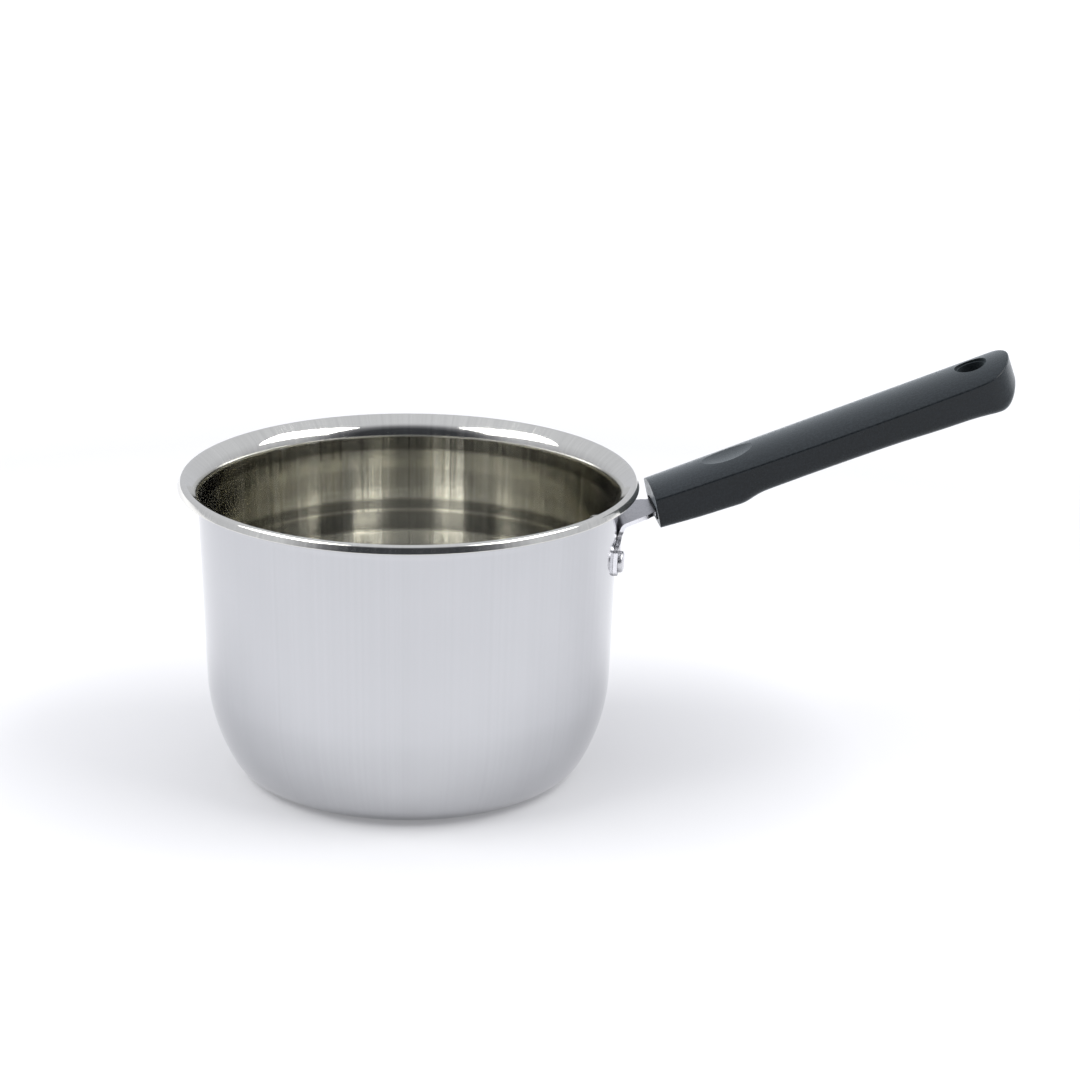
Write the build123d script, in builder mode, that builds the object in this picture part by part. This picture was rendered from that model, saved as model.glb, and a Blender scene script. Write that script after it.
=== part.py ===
from build123d import *
import math
import os

# Wax melting pot: a pressed stainless vessel with a riveted bracket and a moulded grip.
# Origin at the centre of the base underside, +Z up, handle along +X. Millimetres.

os.makedirs("parts", exist_ok=True)

# vessel
SHEET = 0.8             # sheet thickness
NECK_R = 70.8           # outer radius at the height below
NECK_Z = 97.0
FLARE_Z = 99.74         # height where the wall line meets the lip's flare line
TAPER = 2.07            # wall lean from the vertical, degrees
BELLY_Z = 20.0          # where the wall line meets the belly line
CORNER_R = 56.3         # where the belly line meets the floor line
CREST = (76.14, 104.05) # corner of the lip, along the middle of the sheet
EDGE = (77.24, 101.0)   # the turned-down edge ends here
VESSEL_BENDS = [12.9, 60.8, 6.5, 1.0]   # mid-sheet radii from the floor up to the lip

# bracket
STRAP = 1.4             # strap thickness
FOOT_GAP = 0.05         # film between foot and wall
FOOT_LOW = 72.9         # the foot runs from this height
FOOT_HIGH = 83.5        # to this height
FOOT_HALF = 22.6        # half width of the foot
FOOT_ROUND = 2.4        # corner radius of the foot
LEG_HALF = 12.6         # half width of the leg, and of the arm at the bend
SHOULDER = 2.6          # inside radius between foot and leg
LEG_BEND = 8.0          # mid-strap radii: foot to leg, leg to arm
ARM_BEND = 1.9
BEND_X = 72.0           # corner between leg and arm
ARM_SLOPE = 12.5        # rise of the arm, degrees
MOUTH_X = 82.0          # where the arm enters the grip
MOUTH_Z = 90.7          # height of the arm's upper face there
NECK_X = 80.6           # the arm is this wide here
NECK_HALF = 8.9
TANG_X = 82.3           # the tang starts here
TANG_HALF = 7.5         # half width of the tang
TANG_END = 107.0        # outer end of the tang
TANG_ROUND = 2.0
HALF_TURN = 22.0        # the strap blank is turned this far to each side, degrees
REACH = 140.0           # length of the cutting blanks, clear of the bracket

# rivets
RIVET_Z = 77.4          # height of the rivets
RIVET_TURN = 15.2       # angle of each rivet from the handle, degrees
SHANK_R = 2.4
HEAD_R = 3.7
HEAD_H = 1.6
HEAD_SOFT = 0.9
INNER_HEAD_R = 4.6
INNER_HEAD_H = 1.1
INNER_HEAD_SOFT = 0.6
SEAT = 0.17             # flat inner head clears the hollow of the wall
CLEAR = 0.1             # clearance round shanks, tang, collar and screw

# grip, drawn along its ridge: U runs out along the ridge, N up from it
RIDGE_X = 82.0          # the ridge passes through this point
RIDGE_Z = 99.72
RIDGE_SLOPE = 19.34     # rise of the ridge, degrees
CROWN_R = 31.0          # radius of the crowned top, seen from the end
CROWN_DROP = 0.32       # the crown lies this far below the ridge line
END_U = -0.5            # inner end face, U at the ridge
UNDERSIDE = [           # U and N of the underside, from the inner end round the heel to the nose
    (-2.2, -13.8),
    (12.0, -14.7),
    (24.0, -15.15),
    (28.0, -15.1),
    (31.0, -14.4),
    (34.0, -13.8),
    (38.0, -13.6),
    (50.0, -13.5),
    (68.0, -13.6),
    (85.0, -13.95),
    (102.0, -14.75),
    (113.5, -15.3),
    (118.6, -16.0),
    (121.6, -16.1),
    (125.0, -14.4),
    (128.0, -11.7),
    (131.4, -7.6),
]
OUTLINE = [             # U and half width of the grip, from the inner end to the nose
    (-5.0, 12.35),
    (2.0, 12.74),
    (18.0, 13.35),
    (39.0, 13.95),
    (71.0, 14.4),
    (95.0, 14.45),
    (108.0, 14.35),
    (116.5, 14.15),
    (121.8, 13.1),
    (125.0, 10.9),
    (127.3, 7.7),
    (128.9, 4.0),
]
TIP_U = 129.6
BLANK = 20.0            # half width of the grip blank
HOLE_U = 116.3          # hang hole
HOLE_R = 5.65
HOLE_STEP_R = 5.0       # narrower part below the seat
HOLE_SEAT = 1.6         # depth of the seat below the ridge
DIMPLE_U = 28.0         # thumb dimple
DIMPLE_R = 43.0         # radius of the ball that shapes the dimple
DIMPLE_DEEP = 1.3       # depth below the ridge line
EDGE_SOFT = 0.6
UNDER_SOFT = 3.0

# collar and screw, placed along the arm: P runs out along the arm from the mouth, Q up from its upper face
COLLAR_P = (1.1, 5.0)
COLLAR_Q = (-2.9, 1.3)
COLLAR_HALF = 8.0
COLLAR_ROUND = 0.9
POCKET_P = -10.0        # pockets are cut from here, clear of the inner end
SCREW_P = 15.4
SCREW_R = 1.9
SCREW_HOLE_R = 2.2      # hole in the tang
SCREW_HEAD_R = 3.4
SCREW_HEAD_Q = (-4.1, -2.9)
SCREW_TOP = 6.5         # the screw ends this far above the arm
SCREW_POINT = 0.8
DRIVE_WIDE = 1.0        # driver slot
DRIVE_DEEP = 0.6


def wall_r(z):
    """Outer radius of the straight wall at a height."""
    return NECK_R - (NECK_Z - z) * math.tan(math.radians(TAPER))


def sheet_outline(corners, bends, thickness):
    """Closed outline of a bent sheet from its mid-line corners and mid-line bend radii."""
    line = [Vector(*c) for c in corners]
    steps = [(b - a).normalized() for a, b in zip(line, line[1:])]
    steps = [steps[0]] + steps + [steps[-1]]
    radii = [0] + list(bends) + [0]
    sides = {1: [], -1: []}
    for corner, before, after, radius in zip(line, steps, steps[1:], radii):
        turn = before.X * after.Y - before.Y * after.X
        normal = Vector(-before.Y - after.Y, before.X + after.X).normalized()
        reach = thickness / 2 / normal.dot(Vector(-after.Y, after.X))
        for side, out in sides.items():
            inside = side * turn > 0
            soft = radius - thickness / 2 if inside else radius + thickness / 2
            out.append((corner + normal * (side * reach), soft if radius else 0))
    loop = sides[1] + sides[-1][::-1]
    return FilletPolyline(*[p for p, soft in loop], close=True, radius=[soft for p, soft in loop])


def slope_plane(x, z, degrees):
    """Side-view plane through (x, 0, z), its first axis rising outwards at the given slope."""
    a = math.radians(degrees)
    return Plane(origin=(x, 0, z), x_dir=(math.cos(a), 0, math.sin(a)), z_dir=(0, -1, 0))


def top_plane(side):
    """Plane across a side-view plane: same first axis, normal up."""
    return Plane(origin=side.origin, x_dir=side.x_dir, z_dir=side.y_dir)


def end_plane(side):
    """Plane across a side-view plane: first axis +Y, normal along the side view's first axis."""
    return Plane(origin=side.origin, x_dir=(0, 1, 0), z_dir=side.x_dir)


def rivet_plane(turn):
    """Plane on the wall at a rivet, its normal pointing out of the vessel."""
    a = math.radians(turn)
    lean = math.radians(TAPER)
    r = wall_r(RIVET_Z)
    out = (math.cos(a) * math.cos(lean), math.sin(a) * math.cos(lean), -math.sin(lean))
    place = (r * math.cos(a), r * math.sin(a), RIVET_Z)
    return Plane(origin=place, x_dir=(-math.sin(a), math.cos(a), 0), z_dir=out)


RIVETS = {"rivet_front": rivet_plane(-RIVET_TURN), "rivet_rear": rivet_plane(RIVET_TURN)}
GRIP_SIDE = slope_plane(RIDGE_X, RIDGE_Z, RIDGE_SLOPE)
GRIP_TOP = top_plane(GRIP_SIDE)
GRIP_END = end_plane(GRIP_SIDE)
ARM_SIDE = slope_plane(MOUTH_X, MOUTH_Z, ARM_SLOPE)
ARM_TOP = top_plane(ARM_SIDE)
ARM_END = end_plane(ARM_SIDE)
TANG_P = (TANG_END - MOUTH_X) / math.cos(math.radians(ARM_SLOPE))
COLLAR_MID = (0, (COLLAR_Q[0] + COLLAR_Q[1]) / 2)
COLLAR_HIGH = COLLAR_Q[1] - COLLAR_Q[0]


# vessel: one sheet, drawn along its middle and thickened both ways
with BuildPart() as pot_body:
    with BuildSketch(Plane.XZ):
        with BuildLine():
            sheet_outline(
                [
                    (0, SHEET / 2),
                    (CORNER_R, SHEET / 2),
                    (wall_r(BELLY_Z) - SHEET / 2, BELLY_Z),
                    (wall_r(FLARE_Z) - SHEET / 2, FLARE_Z),
                    CREST,
                    EDGE,
                ],
                VESSEL_BENDS,
                SHEET,
            )
        make_face()
    revolve(axis=Axis.Z)
    for spot in RIVETS.values():
        with BuildSketch(spot.offset(-2 * SHEET)):
            Circle(SHANK_R + CLEAR)
        extrude(amount=4 * SHEET, mode=Mode.SUBTRACT)
pot_body.part.label = "pot_body"
export_step(pot_body.part, "parts/pot_body.step")


# bracket: a strap turned round the vessel's axis, then cut to its side and plan outlines
arm_z = MOUTH_Z + (BEND_X - MOUTH_X) * math.tan(math.radians(ARM_SLOPE))
tang_z = MOUTH_Z + (TANG_END - MOUTH_X) * math.tan(math.radians(ARM_SLOPE))
with BuildPart() as handle_bracket:
    with BuildSketch(Plane.XZ.rotated((0, 0, -HALF_TURN))):
        with BuildLine():
            sheet_outline(
                [
                    (wall_r(FOOT_LOW) + FOOT_GAP + STRAP / 2, FOOT_LOW),
                    (wall_r(FOOT_HIGH) + FOOT_GAP + STRAP / 2, FOOT_HIGH),
                    (BEND_X + STRAP / 2, arm_z - STRAP / 2),
                    (TANG_END, tang_z - STRAP / 2),
                ],
                [LEG_BEND, ARM_BEND],
                STRAP,
            )
        make_face()
    revolve(axis=Axis.Z, revolution_arc=2 * HALF_TURN)
    with BuildSketch(Plane.YZ):
        with BuildLine():
            FilletPolyline(
                (-FOOT_HALF, FOOT_LOW),
                (FOOT_HALF, FOOT_LOW),
                (FOOT_HALF, FOOT_HIGH),
                (LEG_HALF, FOOT_HIGH),
                (LEG_HALF, REACH),
                (-LEG_HALF, REACH),
                (-LEG_HALF, FOOT_HIGH),
                (-FOOT_HALF, FOOT_HIGH),
                close=True,
                radius=[FOOT_ROUND, FOOT_ROUND, FOOT_ROUND, SHOULDER, 0, 0, SHOULDER, FOOT_ROUND],
            )
        make_face()
    extrude(amount=REACH, mode=Mode.INTERSECT)
    with BuildSketch(Plane.XY):
        with BuildLine():
            FilletPolyline(
                (0, -2 * FOOT_HALF),
                (BEND_X, -2 * FOOT_HALF),
                (BEND_X, -LEG_HALF),
                (NECK_X, -NECK_HALF),
                (TANG_X, -TANG_HALF),
                (TANG_END, -TANG_HALF),
                (TANG_END, TANG_HALF),
                (TANG_X, TANG_HALF),
                (NECK_X, NECK_HALF),
                (BEND_X, LEG_HALF),
                (BEND_X, 2 * FOOT_HALF),
                (0, 2 * FOOT_HALF),
                close=True,
                radius=[0, 0, 0, 2, 2, TANG_ROUND, TANG_ROUND, 2, 2, 0, 0, 0],
            )
        make_face()
    extrude(amount=REACH, mode=Mode.INTERSECT)
    for spot in RIVETS.values():
        with BuildSketch(spot.offset(-STRAP)):
            Circle(SHANK_R + CLEAR)
        extrude(amount=4 * STRAP, mode=Mode.SUBTRACT)
    with BuildSketch(ARM_TOP.offset(-2 * STRAP)):
        with Locations((SCREW_P, 0)):
            Circle(SCREW_HOLE_R)
    extrude(amount=4 * STRAP, mode=Mode.SUBTRACT)
handle_bracket.part.label = "handle_bracket"
export_step(handle_bracket.part, "parts/handle_bracket.step")


# rivets: flat inner head, shank, domed outer head
for name, spot in RIVETS.items():
    outer_face = FOOT_GAP + STRAP
    inner_face = -SHEET - SEAT
    with BuildPart() as rivet:
        with BuildSketch(spot.offset(inner_face)):
            Circle(INNER_HEAD_R)
        extrude(amount=-INNER_HEAD_H)
        with BuildSketch(spot.offset(inner_face)):
            Circle(SHANK_R)
        extrude(amount=outer_face - inner_face + HEAD_H / 2)
        with BuildSketch(spot.offset(outer_face)):
            Circle(HEAD_R)
        extrude(amount=HEAD_H)
        fillet(rivet.edges().sort_by(Axis(spot.origin, spot.z_dir))[-1], HEAD_SOFT)
        fillet(rivet.edges().sort_by(Axis(spot.origin, spot.z_dir))[0], INNER_HEAD_SOFT)
    rivet.part.label = name
    export_step(rivet.part, f"parts/{name}.step")


# grip: side profile, plan outline and crowned top cut from one blank
with BuildPart() as handle_grip:
    with BuildSketch(GRIP_SIDE):
        with BuildLine():
            Spline(*UNDERSIDE)
            Polyline(UNDERSIDE[-1], (UNDERSIDE[-1][0], CROWN_R), (END_U, CROWN_R), (END_U, 0), UNDERSIDE[0])
        make_face()
    extrude(amount=BLANK, both=True)
    with BuildSketch(GRIP_TOP.offset(-CROWN_R)):
        with BuildLine():
            near_side = [(u, -w) for u, w in reversed(OUTLINE)]
            Spline(*OUTLINE, (TIP_U, 0), *near_side)
            Line(near_side[-1], OUTLINE[0])
        make_face()
    extrude(amount=2 * CROWN_R, mode=Mode.INTERSECT)
    with BuildSketch(GRIP_END.offset(-BLANK)):
        with Locations((0, -CROWN_R - CROWN_DROP)):
            Circle(CROWN_R)
    extrude(amount=TIP_U + 2 * BLANK, mode=Mode.INTERSECT)
    # rounded underside, softened top and inner end
    under = handle_grip.faces().sort_by(Axis(GRIP_SIDE.origin, GRIP_SIDE.y_dir))[0]
    inner_end = handle_grip.faces().sort_by(Axis(GRIP_SIDE.origin, GRIP_SIDE.x_dir))[0]
    fillet(under.edges() - inner_end.edges(), UNDER_SOFT)
    crown = handle_grip.faces().filter_by(GeomType.CYLINDER).sort_by(SortBy.AREA)[-1]
    inner_end = handle_grip.faces().sort_by(Axis(GRIP_SIDE.origin, GRIP_SIDE.x_dir))[0]
    fillet(crown.edges() - inner_end.edges(), EDGE_SOFT)
    inner_end = handle_grip.faces().sort_by(Axis(GRIP_SIDE.origin, GRIP_SIDE.x_dir))[0]
    fillet(inner_end.edges(), EDGE_SOFT / 2)
    # thumb dimple
    with Locations(GRIP_SIDE.from_local_coords((DIMPLE_U, DIMPLE_R - DIMPLE_DEEP, 0))):
        Sphere(DIMPLE_R, mode=Mode.SUBTRACT)
    # hang hole with a seat part way down
    with BuildSketch(GRIP_TOP):
        with Locations((HOLE_U, 0)):
            Circle(HOLE_R)
    extrude(amount=-HOLE_SEAT, mode=Mode.SUBTRACT)
    with BuildSketch(GRIP_TOP):
        with Locations((HOLE_U, 0)):
            Circle(HOLE_STEP_R)
    extrude(amount=-BLANK, mode=Mode.SUBTRACT)
    # pockets for the tang and the collar
    with BuildSketch(ARM_END.offset(POCKET_P)):
        with Locations((0, -STRAP / 2)):
            Rectangle(2 * (TANG_HALF + CLEAR), STRAP + 4 * CLEAR)
    extrude(amount=TANG_P + CLEAR - POCKET_P, mode=Mode.SUBTRACT)
    with BuildSketch(ARM_END.offset(POCKET_P)):
        with Locations(COLLAR_MID):
            RectangleRounded(2 * (COLLAR_HALF + CLEAR), COLLAR_HIGH + 2 * CLEAR, COLLAR_ROUND)
    extrude(amount=COLLAR_P[1] + CLEAR - POCKET_P, mode=Mode.SUBTRACT)
    # screw hole and head recess
    with BuildSketch(ARM_TOP.offset(SCREW_TOP + CLEAR)):
        with Locations((SCREW_P, 0)):
            Circle(SCREW_R + CLEAR / 2)
    extrude(amount=-BLANK, mode=Mode.SUBTRACT)
    with BuildSketch(ARM_TOP.offset(SCREW_HEAD_Q[1])):
        with Locations((SCREW_P, 0)):
            Circle(SCREW_HEAD_R + CLEAR)
    extrude(amount=-BLANK, mode=Mode.SUBTRACT)
handle_grip.part.label = "handle_grip"
export_step(handle_grip.part, "parts/handle_grip.step")


# collar round the arm, let into the mouth of the grip
with BuildPart() as bracket_collar:
    with BuildSketch(ARM_END.offset(COLLAR_P[0])):
        with Locations(COLLAR_MID):
            RectangleRounded(2 * COLLAR_HALF, COLLAR_HIGH, COLLAR_ROUND)
        with Locations((0, -STRAP / 2)):
            Rectangle(2 * (TANG_HALF + CLEAR), STRAP + 4 * CLEAR, mode=Mode.SUBTRACT)
    extrude(amount=COLLAR_P[1] - COLLAR_P[0])
bracket_collar.part.label = "bracket_collar"
export_step(bracket_collar.part, "parts/bracket_collar.step")


# screw from below, through the tang into the solid of the grip
with BuildPart() as fixing_screw:
    with BuildSketch(ARM_TOP.offset(SCREW_HEAD_Q[0])):
        with Locations((SCREW_P, 0)):
            Circle(SCREW_HEAD_R)
            Rectangle(2 * SCREW_HEAD_R, DRIVE_WIDE, mode=Mode.SUBTRACT)
    extrude(amount=DRIVE_DEEP)
    with BuildSketch(ARM_TOP.offset(SCREW_HEAD_Q[0] + DRIVE_DEEP)):
        with Locations((SCREW_P, 0)):
            Circle(SCREW_HEAD_R)
    extrude(amount=SCREW_HEAD_Q[1] - SCREW_HEAD_Q[0] - DRIVE_DEEP)
    with BuildSketch(ARM_TOP.offset(SCREW_HEAD_Q[1])):
        with Locations((SCREW_P, 0)):
            Circle(SCREW_R)
    extrude(amount=SCREW_TOP - SCREW_HEAD_Q[1])
    chamfer(fixing_screw.edges().sort_by(Axis(ARM_TOP.origin, ARM_TOP.z_dir))[-1], SCREW_POINT)
fixing_screw.part.label = "fixing_screw"
export_step(fixing_screw.part, "parts/fixing_screw.step")
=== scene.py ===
import math
import bpy
import bmesh
from mathutils import Euler, Matrix, Vector


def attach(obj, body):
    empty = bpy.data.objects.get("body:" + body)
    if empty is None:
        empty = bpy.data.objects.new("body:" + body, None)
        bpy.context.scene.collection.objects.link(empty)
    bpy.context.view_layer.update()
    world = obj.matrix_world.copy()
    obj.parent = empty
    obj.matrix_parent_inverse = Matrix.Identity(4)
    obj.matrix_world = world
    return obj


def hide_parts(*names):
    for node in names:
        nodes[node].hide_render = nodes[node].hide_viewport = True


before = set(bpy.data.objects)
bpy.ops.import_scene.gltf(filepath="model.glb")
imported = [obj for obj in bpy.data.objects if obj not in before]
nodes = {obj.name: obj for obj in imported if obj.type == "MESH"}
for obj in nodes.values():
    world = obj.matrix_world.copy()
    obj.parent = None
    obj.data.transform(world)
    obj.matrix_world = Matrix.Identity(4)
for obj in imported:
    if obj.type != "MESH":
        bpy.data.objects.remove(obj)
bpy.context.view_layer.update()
scene = bpy.context.scene
MM = 0.001

# ---------------------------------------------------------------- camera
AZIMUTH = math.radians(5.69)        # the camera stands this far round from -Y, away from the handle
ELEVATION = math.radians(19.39)     # and this far above the level of the point it circles
DISTANCE = 1.21
LOOK_DOWN = math.radians(17.978)    # its own tilt, swing and roll frame the pot to the left of the middle
LOOK_ASIDE = math.radians(2.228)
ROLL = math.radians(0.7705)
LENS = 118.13                       # focal length on a 36 mm sensor
MIDDLE = Vector((0, 0, 0.05))       # the point the camera circles, on the pot's axis

cam_data = bpy.data.cameras.new("camera")
cam_data.sensor_width = 36.0
cam_data.lens = LENS
cam_data.clip_start = 0.01
cam_data.clip_end = 50
camera = bpy.data.objects.new("camera", cam_data)
scene.collection.objects.link(camera)
camera.location = MIDDLE + DISTANCE * Vector((
    -math.cos(ELEVATION) * math.sin(AZIMUTH),
    -math.cos(ELEVATION) * math.cos(AZIMUTH),
    math.sin(ELEVATION),
))
turn = Euler((math.pi / 2 - LOOK_DOWN, 0, -LOOK_ASIDE - AZIMUTH)).to_matrix()
camera.rotation_euler = (turn @ Matrix.Rotation(ROLL, 3, "Z")).to_euler()
scene.camera = camera


# ---------------------------------------------------------------- node helpers
class Nodes:
    """A small wrapper that adds and links shader nodes."""

    def __init__(self, name, world=False):
        self.owner = bpy.data.worlds.new(name) if world else bpy.data.materials.new(name)
        self.owner.use_nodes = True
        self.tree = self.owner.node_tree
        self.tree.nodes.clear()

    def add(self, kind, **values):
        node = self.tree.nodes.new(kind)
        for key, value in values.items():
            setattr(node, key, value)
        return node

    def link(self, a, out, b, into):
        self.tree.links.new(a.outputs[out], b.inputs[into])

    def feed(self, out, node, into):
        """Links an output socket to an input of a node."""
        self.tree.links.new(out, node.inputs[into])

    def math(self, operation, *values):
        node = self.add("ShaderNodeMath", operation=operation)
        for index, value in enumerate(values):
            if isinstance(value, (int, float)):
                node.inputs[index].default_value = value
            else:
                self.tree.links.new(value, node.inputs[index])
        return node.outputs[0]

    def noise(self, vector, scale, detail, rough):
        node = self.tree.nodes.new("ShaderNodeTexNoise")
        node.inputs["Scale"].default_value = scale
        node.inputs["Detail"].default_value = detail
        node.inputs["Roughness"].default_value = rough
        self.tree.links.new(vector, node.inputs["Vector"])
        return node.outputs["Fac"]

    def ramp(self, factor, stops):
        node = self.tree.nodes.new("ShaderNodeValToRGB")
        while len(node.color_ramp.elements) < len(stops):
            node.color_ramp.elements.new(0.5)
        for element, (place, colour) in zip(node.color_ramp.elements, stops):
            element.position = place
            element.color = (*colour, 1)
        self.tree.links.new(factor, node.inputs[0])
        return node.outputs["Color"]

    def span(self, factor, low, high, to_low, to_high):
        node = self.tree.nodes.new("ShaderNodeMapRange")
        for index, value in enumerate((low, high, to_low, to_high)):
            node.inputs[index + 1].default_value = value
        self.tree.links.new(factor, node.inputs[0])
        return node.outputs[0]

    def scaled(self, vector, size):
        node = self.tree.nodes.new("ShaderNodeMapping")
        node.inputs["Scale"].default_value = size
        self.tree.links.new(vector, node.inputs["Vector"])
        return node.outputs[0]

    def finish(self, shader, bump=None, strength=0, distance=0):
        """Adds the bump and the output; distance is how many metres a relief of 1 stands up."""
        if bump is not None:
            node = self.add("ShaderNodeBump")
            node.inputs["Strength"].default_value = strength
            node.inputs["Distance"].default_value = distance
            self.tree.links.new(bump, node.inputs["Height"])
            self.tree.links.new(node.outputs[0], shader.inputs["Normal"])
        out = self.add("ShaderNodeOutputMaterial")
        self.tree.links.new(shader.outputs[0], out.inputs[0])
        return self.owner


def round_coords(n):
    """Outputs for a turned piece: direction from the axis as a unit vector, height, radius and position."""
    coords = n.add("ShaderNodeTexCoord")
    parts = n.add("ShaderNodeSeparateXYZ")
    n.link(coords, "Object", parts, 0)
    flat = n.add("ShaderNodeCombineXYZ")
    n.link(parts, "X", flat, "X")
    n.link(parts, "Y", flat, "Y")
    unit = n.add("ShaderNodeVectorMath", operation="NORMALIZE")
    n.link(flat, 0, unit, 0)
    length = n.add("ShaderNodeVectorMath", operation="LENGTH")
    n.link(flat, 0, length, 0)
    return unit.outputs["Vector"], parts.outputs["Z"], length.outputs["Value"], coords.outputs["Object"]


# ---------------------------------------------------------------- materials
STREAKS = 9          # upright streaks round the vessel, and finer ones between them
FINE_STREAKS = 60
CLOUDS = 35.0        # noise scales of the vessel's steel
TURNING = 3500.0
DRAWN = 75.0
WOBBLE = 0.010       # how far the drawn rings wander as they go round, metres
BRIGHTEST = 1.4      # tone of the brightest painted reflection ring; a tone of 1 is the plain colour
UNEVEN = 0.4         # how strongly the streaks show in the tone of the painted reflection rings
GRAIN = 900.0        # noise scales of the plain steel
MOTTLE = 160.0
PITS = 2600.0        # noise scales of the moulding
FLECKS = 1000.0
FLOW = 70.0


def shaded(colour, tone):
    return tuple(c * tone for c in colour)


def metal(n):
    shader = n.add("ShaderNodeBsdfPrincipled")
    shader.inputs["Metallic"].default_value = 1.0
    return shader


def steel(name, colour, rough, spread, streak, pull, lines, ripple, zones=()):
    """Polished sheet steel: streaks up the wall, fine turning lines and shallow drawn rings round it.

    The gloss is drawn out up the wall by pull; lines and ripple are the depths of the turning lines and
    drawn rings in mm. zones lists (height in mm, tone) for brighter and duller rings painted into the
    colour by height: painted reflections of the floor's corner.
    """
    n = Nodes(name)
    circle, height, radius, place = round_coords(n)
    upright = n.noise(n.scaled(circle, (STREAKS, STREAKS, 0)), 6.0, 4.0, 0.65)
    fine_upright = n.noise(n.scaled(circle, (FINE_STREAKS, FINE_STREAKS, 0)), 5.0, 2.0, 0.6)
    cloud = n.noise(place, CLOUDS, 3.0, 0.5)
    coarse = n.math("MULTIPLY", upright, streak)
    fine = n.math("MULTIPLY", fine_upright, 0.25 * streak)
    mixed = n.math("ADD", coarse, fine)
    mixed = n.math("ADD", mixed, n.math("MULTIPLY", cloud, 0.25))
    shader = metal(n)
    shader.inputs["Anisotropic"].default_value = pull
    shader.inputs["Anisotropic Rotation"].default_value = 0.25
    middle = 0.5 * (1.25 * streak + 0.25)
    low, high = 0.75 * middle, 1.25 * middle
    if zones:
        # painted reflection: the colour gets brighter and duller rings by height, standing for the floor's
        # corner seen in the mirror finish
        bottom, top = zones[0][0], zones[-1][0]
        level = n.span(height, bottom * MM, top * MM, 0, 1)
        stops = [((z - bottom) / (top - bottom), (ring / BRIGHTEST,) * 3) for z, ring in zones]
        painted_rings = n.ramp(level, stops)
        uneven = n.math("MULTIPLY", n.math("SUBTRACT", mixed, middle), UNEVEN)
        tone = n.ramp(n.math("ADD", painted_rings, uneven), [(0, (0, 0, 0)), (1, shaded(colour, BRIGHTEST))])
    else:
        tone = n.ramp(mixed, [(low, shaded(colour, 0.95)), (high, colour)])
    n.feed(tone, shader, "Base Color")
    n.feed(n.span(mixed, low, high, rough - spread, rough + spread), shader, "Roughness")
    rings = n.add("ShaderNodeCombineXYZ")
    n.feed(height, rings, "Z")
    n.feed(radius, rings, "X")
    turned = n.noise(rings.outputs[0], TURNING, 2.0, 0.6)
    drawn = n.add("ShaderNodeVectorMath", operation="MULTIPLY_ADD")
    n.feed(circle, drawn, 0)
    drawn.inputs[1].default_value = (WOBBLE, WOBBLE, 0)
    n.feed(rings.outputs[0], drawn, 2)
    waves = n.noise(drawn.outputs[0], DRAWN, 1.0, 0.4)
    relief = n.math("ADD", n.math("MULTIPLY", turned, lines), n.math("MULTIPLY", waves, ripple))
    tangent = n.add("ShaderNodeTangent", direction_type="RADIAL", axis="Z")
    n.link(tangent, 0, shader, "Tangent")
    return n.finish(shader, relief, 1.0, MM)


def plain_steel(name, colour, rough, grain, painted_edge_highlight=0.0):
    """Satin steel with fine grain; faces turned along ±Y, the long edges of a strap, get a painted
    highlight, a brighter colour than its rolled faces.
    """
    n = Nodes(name)
    coords = n.add("ShaderNodeTexCoord")
    place = coords.outputs["Object"]
    speck = n.noise(n.scaled(place, (1, grain, 1)), GRAIN, 3.0, 0.6)
    cloud = n.noise(place, MOTTLE, 2.0, 0.5)
    facing = n.add("ShaderNodeSeparateXYZ")
    n.link(coords, "Normal", facing, 0)
    # painted highlight: faces turned along ±Y, the strap's long edges, are pushed toward the bright colour
    edge_highlight = n.span(n.math("ABSOLUTE", facing.outputs["Y"]), 0.75, 0.95, 0, painted_edge_highlight)
    mixed = n.math("ADD", n.math("MULTIPLY", speck, 0.25), n.math("MULTIPLY", cloud, 0.25))
    shader = metal(n)
    bright = tuple(min(1, c) for c in shaded(colour, 1.55))
    shade = n.math("ADD", mixed, edge_highlight)
    tone = n.ramp(shade, [(0.17, shaded(colour, 0.86)), (0.35, colour), (0.60, bright)])
    n.feed(tone, shader, "Base Color")
    n.feed(n.span(speck, 0.3, 0.7, rough - 0.06, rough + 0.08), shader, "Roughness")
    return n.finish(shader, speck, 0.12, 0.04 * MM)


def moulded(name, colour, rough, sheen):
    """Moulded phenolic: tiny pitting, flow clouding and slightly uneven gloss."""
    n = Nodes(name)
    place = n.add("ShaderNodeTexCoord").outputs["Object"]
    pits = n.noise(place, PITS, 2.0, 0.55)
    fleck = n.noise(place, FLECKS, 2.0, 0.6)
    flow = n.noise(n.scaled(place, (0.4, 1, 1)), FLOW, 3.0, 0.5)
    shader = n.add("ShaderNodeBsdfPrincipled")
    shader.inputs["Specular IOR Level"].default_value = 0.24
    shader.inputs["Sheen Weight"].default_value = sheen
    shader.inputs["Sheen Roughness"].default_value = 0.55
    shader.inputs["Sheen Tint"].default_value = (0.80, 0.95, 1.0, 1)
    mixed = n.math("ADD", n.math("MULTIPLY", flow, 0.3), n.math("MULTIPLY", fleck, 0.7))
    tone = n.ramp(mixed, [(0.35, shaded(colour, 0.55)), (0.65, shaded(colour, 1.5))])
    n.feed(tone, shader, "Base Color")
    n.feed(n.span(fleck, 0.35, 0.65, rough - 0.06, rough + 0.10), shader, "Roughness")
    relief = n.math("ADD", n.math("MULTIPLY", pits, 0.4), n.math("MULTIPLY", fleck, 0.6))
    return n.finish(shader, relief, 0.25, 0.06 * MM)
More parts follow.
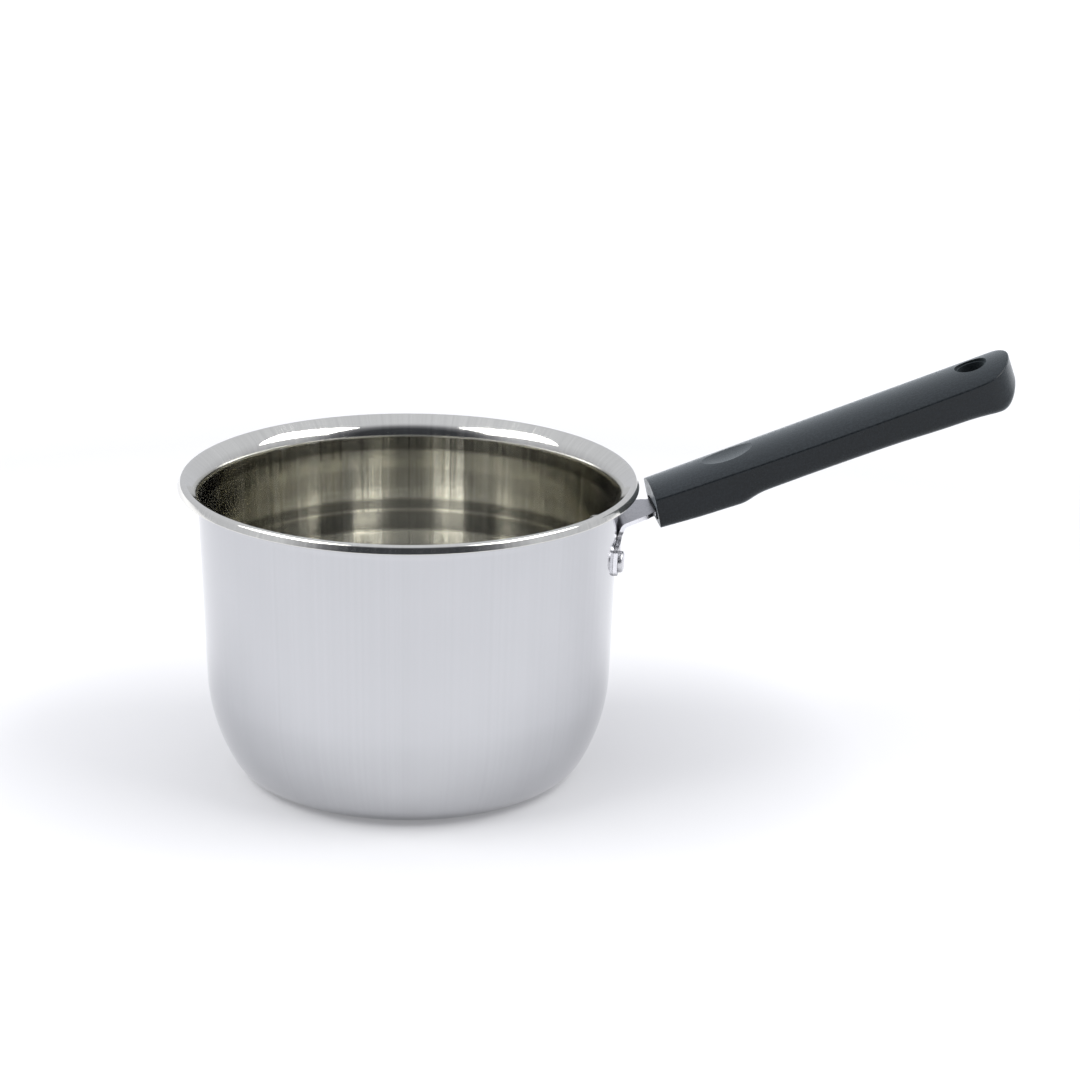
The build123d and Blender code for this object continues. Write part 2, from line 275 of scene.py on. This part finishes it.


# Tone of the metal inside the vessel, as (height in mm, tone): duller and brighter rings painted into the
# colour by height, painted reflections of the arcs that a mirror finish shows of the floor's corner.
PAINTED_REFLECTION_RINGS = [
    (56, 1.05), (58.5, 1.38), (62, 1.38), (63.4, 0.46), (69, 0.52), (70.2, 0.95),
    (71, 0.54), (73.5, 0.60), (75, 1.40), (77.5, 1.40), (79.5, 1.15), (84.5, 1.15),
    (86.5, 1.40), (91.5, 1.40), (93, 0.60), (97, 0.70), (99.5, 0.95), (101, 1.05),
]
steel_out = steel("steel_outside", (0.57, 0.575, 0.592), rough=0.14, spread=0.04,
                  streak=0.45, pull=0.4, lines=0.0005, ripple=0.004)
steel_in = steel("steel_inside", (0.71, 0.702, 0.66), rough=0.088, spread=0.055,
                 streak=0.5, pull=0.95, lines=0.00015, ripple=0.12, zones=PAINTED_REFLECTION_RINGS)
# the strap's long edges carry a painted highlight
strap_steel = plain_steel("strap_steel", (0.52, 0.52, 0.54), rough=0.30, grain=4, painted_edge_highlight=0.4)
rivet_steel = plain_steel("rivet_steel", (0.66, 0.66, 0.68), rough=0.26, grain=1)
screw_steel = plain_steel("screw_steel", (0.60, 0.60, 0.58), rough=0.35, grain=1)
phenolic = moulded("grip_phenolic", (0.0046, 0.0060, 0.0080), rough=0.25, sheen=0.18)
# painted shade: the collar's near-black colour is its dark moulding and also stands for the shade under the
# grip's end, where the strap goes in
collar_and_shade = moulded("collar_rubber", (0.012, 0.012, 0.013), rough=0.6, sheen=0.05)


# ---------------------------------------------------------------- vessel
def bent_line(corners, bends, thick, steps):
    """Inner and outer outlines of a bent sheet, as (r, z) points, from its mid-line corners and bends."""
    line = [Vector(c) for c in corners]
    ways = [(b - a).normalized() for a, b in zip(line, line[1:])]
    ways = [ways[0]] + ways + [ways[-1]]
    radii = [0] + list(bends) + [0]
    sides = {1: [], -1: []}
    for corner, before, after, radius in zip(line, ways, ways[1:], radii):
        sign = 1 if before.x * after.y > before.y * after.x else -1
        normal = Vector((-before.y - after.y, before.x + after.x)).normalized()
        for side, out in sides.items():
            reach = side * thick / 2
            if radius == 0:
                out.append(corner + normal * reach)
                continue
            bend = radius - reach * sign
            middle = corner + normal * sign * radius / normal.dot(Vector((-after.y, after.x)))
            a0 = math.atan2(before.x * -sign, before.y * sign)
            a1 = math.atan2(after.x * -sign, after.y * sign)
            sweep = (a1 - a0 + math.pi) % (2 * math.pi) - math.pi
            count = max(3, int(abs(sweep) / steps))
            for k in range(count + 1):
                a = a0 + sweep * k / count
                out.append(middle + bend * Vector((math.cos(a), math.sin(a))))
    return sides[1], sides[-1]


# the vessel's sizes, in mm
SHEET = 0.8
TAPER = math.tan(math.radians(2.07))
NECK_R, NECK_Z, FLARE_Z, BELLY_Z, CORNER_R = 70.8, 97.0, 99.74, 20.0, 56.3
CREST = (76.14, 104.05)
EDGE = (77.24, 101.0)
BENDS = [12.9, 60.8, 6.5, 1.0]      # radii at the floor's corner, belly, flare and the lip's crest
EDGE_SOFT = 0.2                     # radius along both sides of the cut edge
TURNS = 384                         # faces round the vessel


def mid_wall(z):
    """Radius of the middle of the wall's sheet at a height."""
    return NECK_R - (NECK_Z - z) * TAPER - SHEET / 2


corners = [
    (0, SHEET / 2),
    (CORNER_R, SHEET / 2),
    (mid_wall(BELLY_Z), BELLY_Z),
    (mid_wall(FLARE_Z), FLARE_Z),
    CREST,
    EDGE,
]
inner, outer = bent_line(corners, BENDS, SHEET, math.radians(2))


def eased_edge(top, under, soft):
    """Takes the corners off the sheet's cut edge; returns the points from one side to the other."""
    run = (top[-1] - top[-2]).normalized()
    across = (under[-1] - top[-1]).normalized()
    points = []
    for corner, start, end in ((top.pop(), -run, across), (under.pop(), -across, -run)):
        middle = corner + soft * (start + end)
        for k in range(6):
            a = math.radians(18 * k)
            points.append(middle - soft * (math.cos(a) * end + math.sin(a) * start))
    return points


rim = eased_edge(inner, outer, EDGE_SOFT)


def lathe(name, sides, materials):
    """Spins (points, material number) strips in mm round Z into one smooth closed mesh."""
    loop = []
    for points, slot in sides:
        loop += [(p.x * MM, p.y * MM, slot) for p in points]
    mesh = bmesh.new()
    rings = []
    for r, z, slot in loop:
        if r < 1e-6:
            rings.append([mesh.verts.new((0, 0, z))])
        else:
            rings.append([mesh.verts.new((r * math.cos(a), r * math.sin(a), z))
                          for a in (2 * math.pi * k / TURNS for k in range(TURNS))])
    for ring, nxt, (_, _, slot) in zip(rings, rings[1:], loop[1:]):
        for k in range(TURNS):
            m = (k + 1) % TURNS
            if len(ring) == 1:
                corner_set = [ring[0], nxt[k], nxt[m]]
            elif len(nxt) == 1:
                corner_set = [ring[k], nxt[0], ring[m]]
            else:
                corner_set = [ring[k], nxt[k], nxt[m], ring[m]]
            mesh.faces.new(corner_set).material_index = slot
    bmesh.ops.recalc_face_normals(mesh, faces=mesh.faces)
    data = bpy.data.meshes.new(name)
    mesh.to_mesh(data)
    mesh.free()
    data.shade_smooth()
    for material in materials:
        data.materials.append(material)
    piece = bpy.data.objects.new(name, data)
    scene.collection.objects.link(piece)
    return piece


vessel = lathe("vessel", [(inner, 0), (rim, 0), (outer[::-1], 1)], [steel_in, steel_out])
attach(vessel, "root")
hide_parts("pot_body")


# ---------------------------------------------------------------- CAD nodes that stay
def dress(node, material):
    """Gives a CAD node one material in place of its own."""
    piece = nodes[node]
    piece.data.materials.clear()
    piece.data.materials.append(material)


for node, material in (
    ("handle_bracket", strap_steel),
    ("rivet_front", rivet_steel),
    ("rivet_rear", rivet_steel),
    ("handle_grip", phenolic),
    # the collar's near-black also stands for the shade under the grip's end
    ("bracket_collar", collar_and_shade),
    ("fixing_screw", screw_steel),
):
    dress(node, material)


# ---------------------------------------------------------------- floor
FLOOR_HALF = 6.0
# the floor glows a little, so that it stays pale, as (metres from the axis, strength)
GLOW = [(0.07, 0.22), (0.16, 0.38), (0.40, 0.27), (1.0, 0.70)]

floor_mesh = bmesh.new()
bmesh.ops.create_grid(floor_mesh, x_segments=8, y_segments=8, size=FLOOR_HALF)
floor_data = bpy.data.meshes.new("floor")
floor_mesh.to_mesh(floor_data)
floor_mesh.free()
floor = bpy.data.objects.new("floor", floor_data)
scene.collection.objects.link(floor)
pale = Nodes("pale_floor")
pale_shader = pale.add("ShaderNodeBsdfPrincipled")
pale_shader.inputs["Base Color"].default_value = (0.53, 0.53, 0.535, 1)
pale_shader.inputs["Roughness"].default_value = 0.9
pale_shader.inputs["Specular IOR Level"].default_value = 0.1
pale_shader.inputs["Emission Color"].default_value = (0.97, 0.97, 1.0, 1)
from_axis = pale.add("ShaderNodeVectorMath", operation="LENGTH")
pale.link(pale.add("ShaderNodeTexCoord"), "Object", from_axis, 0)
glow = pale.ramp(from_axis.outputs["Value"], [(away, (strength,) * 3) for away, strength in GLOW])
pale.feed(glow, pale_shader, "Emission Strength")
floor_data.materials.append(pale.finish(pale_shader))


# ---------------------------------------------------------------- room and lights
# the room: a pale ceiling and backdrop, with a dim side behind the camera
DIM_HEIGHT = math.radians(10)       # how far the middle of the dim side is above the level
DIM_CORE, DIM_EDGE = 0.87, 0.45     # cosines of the angles where it starts and stops getting paler
ROOM = [
    (0.0, (0.062, 0.066, 0.076)),
    (0.33, (0.22, 0.225, 0.25)),
    (0.62, (0.50, 0.51, 0.55)),
    (1.0, (0.72, 0.735, 0.79)),
]

world = Nodes("studio", world=True)
heading = world.add("ShaderNodeTexCoord")
toward = world.add("ShaderNodeVectorMath", operation="DOT_PRODUCT")
world.link(heading, "Generated", toward, 0)
toward.inputs[1].default_value = (
    -math.cos(DIM_HEIGHT) * math.sin(AZIMUTH),
    -math.cos(DIM_HEIGHT) * math.cos(AZIMUTH),
    math.sin(DIM_HEIGHT),
)
room = world.ramp(world.span(toward.outputs["Value"], DIM_CORE, DIM_EDGE, 0, 1), ROOM)
rise = world.add("ShaderNodeSeparateXYZ")
world.link(heading, "Generated", rise, 0)
back = world.add("ShaderNodeBackground")
world.feed(room, back, "Color")
world.feed(world.span(rise.outputs["Z"], 0.0, 0.9, 0.86, 1.0), back, "Strength")
world_out = world.add("ShaderNodeOutputWorld")
world.feed(back.outputs[0], world_out, "Surface")
scene.world = world.owner

BOX_SIZE = (1.75, 1.1)
BOX_DISTANCE = 1.5
BOX_HEIGHT = 1.67
BOX_RADIANCE = 5.5
AIM = Vector((0, 0, 0.1))


def softbox(name, azimuth):
    """A large soft light at an azimuth round from the camera, aimed down at the pot."""
    data = bpy.data.lights.new(name, "AREA")
    data.shape = "RECTANGLE"
    data.size, data.size_y = BOX_SIZE
    data.energy = BOX_RADIANCE * math.pi * BOX_SIZE[0] * BOX_SIZE[1]
    light = bpy.data.objects.new(name, data)
    scene.collection.objects.link(light)
    a = AZIMUTH + math.radians(azimuth)
    light.location = (-BOX_DISTANCE * math.sin(a), -BOX_DISTANCE * math.cos(a), BOX_HEIGHT)
    light.rotation_euler = (AIM - light.location).to_track_quat("-Z", "Y").to_euler()


softbox("left", 75)
softbox("right", -75)

scene.view_settings.view_transform = "Standard"
scene.view_settings.look = "None"
scene.cycles.glossy_bounces = 12
